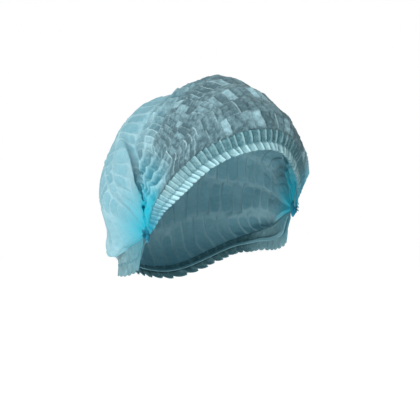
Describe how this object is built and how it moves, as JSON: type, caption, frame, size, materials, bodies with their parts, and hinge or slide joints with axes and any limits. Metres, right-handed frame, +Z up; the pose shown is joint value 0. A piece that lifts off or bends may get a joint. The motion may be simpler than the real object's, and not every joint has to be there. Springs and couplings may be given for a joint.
{
  "type": "disposable hair cover cap",
  "caption": "Disposable bouffant hair cover of pleated nonwoven cloth, puffed out as worn, with gathered elastic hems and a welded clip beside each ear.",
  "frame": {"origin": "the point inside the crown that rests on the top of the wearer's head", "axes": "+Z up, -Y towards the wearer's front, +X towards the wearer's left"},
  "size_m": [0.1932, 0.2412, 0.2235],
  "materials": {
    "crown_cloth": "thin spunbond nonwoven, pale blue, half see-through, matt with a faint sheen",
    "hem_cloth": "double nonwoven, gathered and stitched, light blue, matt",
    "welded_cloth": "many layers of nonwoven heat-welded together, deep cyan, half gloss",
    "elastic_rubber": "flat covered elastic, off-white, matt"
  },
  "bodies": {
    "root": {"crown": "crown_cloth", "front_hem": "hem_cloth", "nape_hem": "hem_cloth", "front_elastic": "elastic_rubber", "nape_elastic": "elastic_rubber", "right_clip": "welded_cloth", "left_clip": "welded_cloth"}
  },
  "joints": []
}
